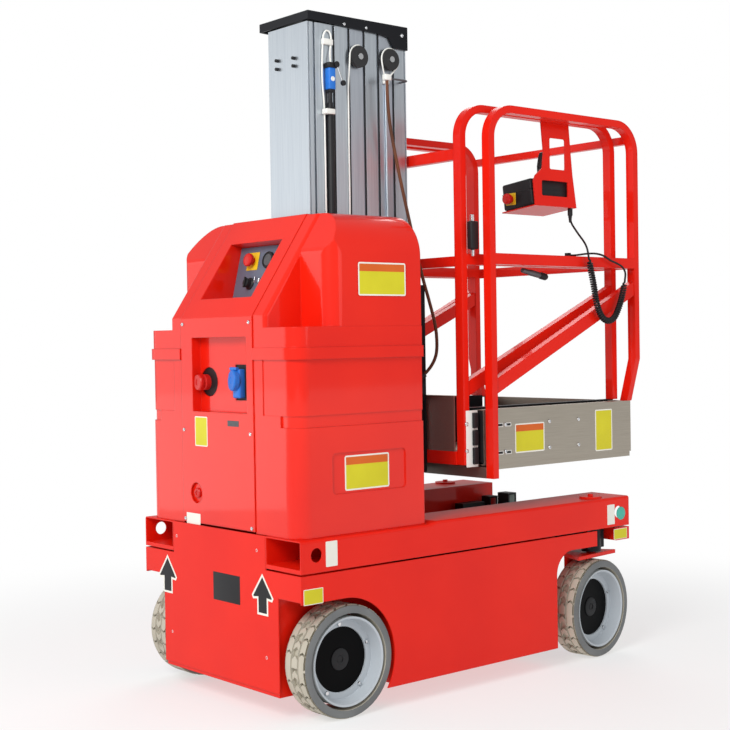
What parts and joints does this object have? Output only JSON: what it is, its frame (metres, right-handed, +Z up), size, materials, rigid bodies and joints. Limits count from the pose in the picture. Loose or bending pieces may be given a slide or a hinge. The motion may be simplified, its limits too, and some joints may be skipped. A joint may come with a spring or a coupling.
{
  "type": "vertical mast lift",
  "caption": "Compact self-propelled personnel lift: red wheeled chassis and power cover, telescoping aluminium mast, railed platform with sliding extension.",
  "frame": {"origin": "on the floor, under the middle of the whole length and width", "axes": "X forwards from the power cover to the platform, Y left, Z up"},
  "size_m": [1.417, 0.8155, 1.98],
  "materials": {
    "red_paint": "orange-red gloss paint on steel",
    "black_paint": "black satin paint on steel",
    "dark_steel": "dark cast motor housing",
    "anodised_aluminium": "matt anodised extrusion",
    "grey_aluminium": "mill-finish plate and channel",
    "brushed_plate": "brushed instrument plate",
    "black_plastic": "black moulded plastic",
    "blue_plastic": "blue moulded plastic",
    "white_plastic": "white clip",
    "black_cord": "black cord sheath",
    "brown_hose": "brown hose",
    "tyre": "grey non-marking solid rubber",
    "wheel_paint": "light silver-grey paint on the wheel"
  },
  "bodies": {
    "chassis": {"rail_right": "red_paint", "rail_left": "red_paint", "chassis_shell": "red_paint", "chassis_tub": "black_paint", "battery_block": "black_plastic", "deck_tray": "black_paint", "front_crossmember": "red_paint", "steer_beam": "black_paint", "drive_motors": "dark_steel", "cover_right": "red_paint", "cover_left": "red_paint", "service_panel": "red_paint", "control_panel": "brushed_plate", "sockets": "blue_plastic", "power_pack": "black_paint", "mast_column_1": "anodised_aluminium", "mast_switch": "blue_plastic", "deck_lamps": "black_plastic"},
    "mast_2": {"mast_column_2": "anodised_aluminium"},
    "mast_3": {"mast_column_3": "anodised_aluminium"},
    "mast_4": {"mast_column_4": "anodised_aluminium"},
    "mast_5": {"mast_column_5": "anodised_aluminium"},
    "platform": {"mast_column_6": "anodised_aluminium", "mast_cap": "black_paint", "carriage": "black_paint", "platform_deck": "grey_aluminium", "side_channels": "black_paint", "slide_pads": "black_plastic", "main_side_right": "red_paint", "main_side_left": "red_paint", "main_rear_frame": "red_paint", "rear_toe_panel": "grey_aluminium", "control_hanger": "red_paint", "control_box": "black_plastic", "cord_gland": "black_plastic", "cord_lead": "black_cord", "cord_coil": "black_cord", "cord_tail": "black_cord", "cord_clip": "black_plastic", "mast_hose": "brown_hose", "hose_clip": "white_plastic", "hose_gland": "black_plastic"},
    "extension": {"extension_side_right": "red_paint", "extension_side_left": "red_paint", "extension_front_rails": "red_paint", "toe_channels": "grey_aluminium", "extension_pads": "black_plastic", "extension_deck": "grey_aluminium", "front_toe_board": "grey_aluminium"},
    "knuckle_right": {"knuckle_right": "red_paint"},
    "knuckle_left": {"knuckle_left": "red_paint"},
    "wheel_front_right": {"tyre_front_right": "tyre", "rim_front_right": "wheel_paint"},
    "wheel_front_left": {"tyre_front_left": "tyre", "rim_front_left": "wheel_paint"},
    "wheel_rear_right": {"tyre_rear_right": "tyre", "rim_rear_right": "wheel_paint"},
    "wheel_rear_left": {"tyre_rear_left": "tyre", "rim_rear_left": "wheel_paint"}
  },
  "joints": [
    {"name": "mast_slide_2", "type": "slide", "parent": "chassis", "child": "mast_2", "axis": [0, 0, 1], "range_m": [0, 1.07]},
    {"name": "mast_slide_3", "type": "slide", "parent": "mast_2", "child": "mast_3", "axis": [0, 0, 1], "range_m": [0, 1.07]},
    {"name": "mast_slide_4", "type": "slide", "parent": "mast_3", "child": "mast_4", "axis": [0, 0, 1], "range_m": [0, 1.07]},
    {"name": "mast_slide_5", "type": "slide", "parent": "mast_4", "child": "mast_5", "axis": [0, 0, 1], "range_m": [0, 1.07]},
    {"name": "mast_slide_6", "type": "slide", "parent": "mast_5", "child": "platform", "axis": [0, 0, 1], "range_m": [0, 1.07]},
    {"name": "extension_slide", "type": "slide", "parent": "platform", "child": "extension", "axis": [1, 0, 0], "range_m": [0, 0.38]},
    {"name": "steer_right", "type": "hinge", "parent": "chassis", "child": "knuckle_right", "pos_m": [0.5095, -0.339, 0.37], "axis": [0, 0, 1], "range_deg": [-76.3, 63.7]},
    {"name": "steer_left", "type": "hinge", "parent": "chassis", "child": "knuckle_left", "pos_m": [0.5095, 0.339, 0.37], "axis": [0, 0, 1], "range_deg": [-76.3, 63.7]},
    {"name": "wheel_front_right_spin", "type": "hinge", "parent": "knuckle_right", "child": "wheel_front_right", "pos_m": [0.49757, -0.34032, 0.155], "axis": [-0.1097, 0.994, 0], "continuous": true},
    {"name": "wheel_front_left_spin", "type": "hinge", "parent": "knuckle_left", "child": "wheel_front_left", "pos_m": [0.49757, 0.33768, 0.155], "axis": [-0.1097, 0.994, 0], "continuous": true},
    {"name": "wheel_rear_right_spin", "type": "hinge", "parent": "chassis", "child": "wheel_rear_right", "pos_m": [-0.5455, -0.34, 0.155], "axis": [0, 1, 0], "continuous": true},
    {"name": "wheel_rear_left_spin", "type": "hinge", "parent": "chassis", "child": "wheel_rear_left", "pos_m": [-0.5455, 0.34, 0.155], "axis": [0, 1, 0], "continuous": true}
  ],
  "couplings": [
    {"joint": "mast_slide_3", "follows": "mast_slide_2", "ratio": 1},
    {"joint": "mast_slide_4", "follows": "mast_slide_2", "ratio": 1},
    {"joint": "mast_slide_5", "follows": "mast_slide_2", "ratio": 1},
    {"joint": "mast_slide_6", "follows": "mast_slide_2", "ratio": 1},
    {"joint": "steer_left", "follows": "steer_right", "ratio": 1}
  ]
}
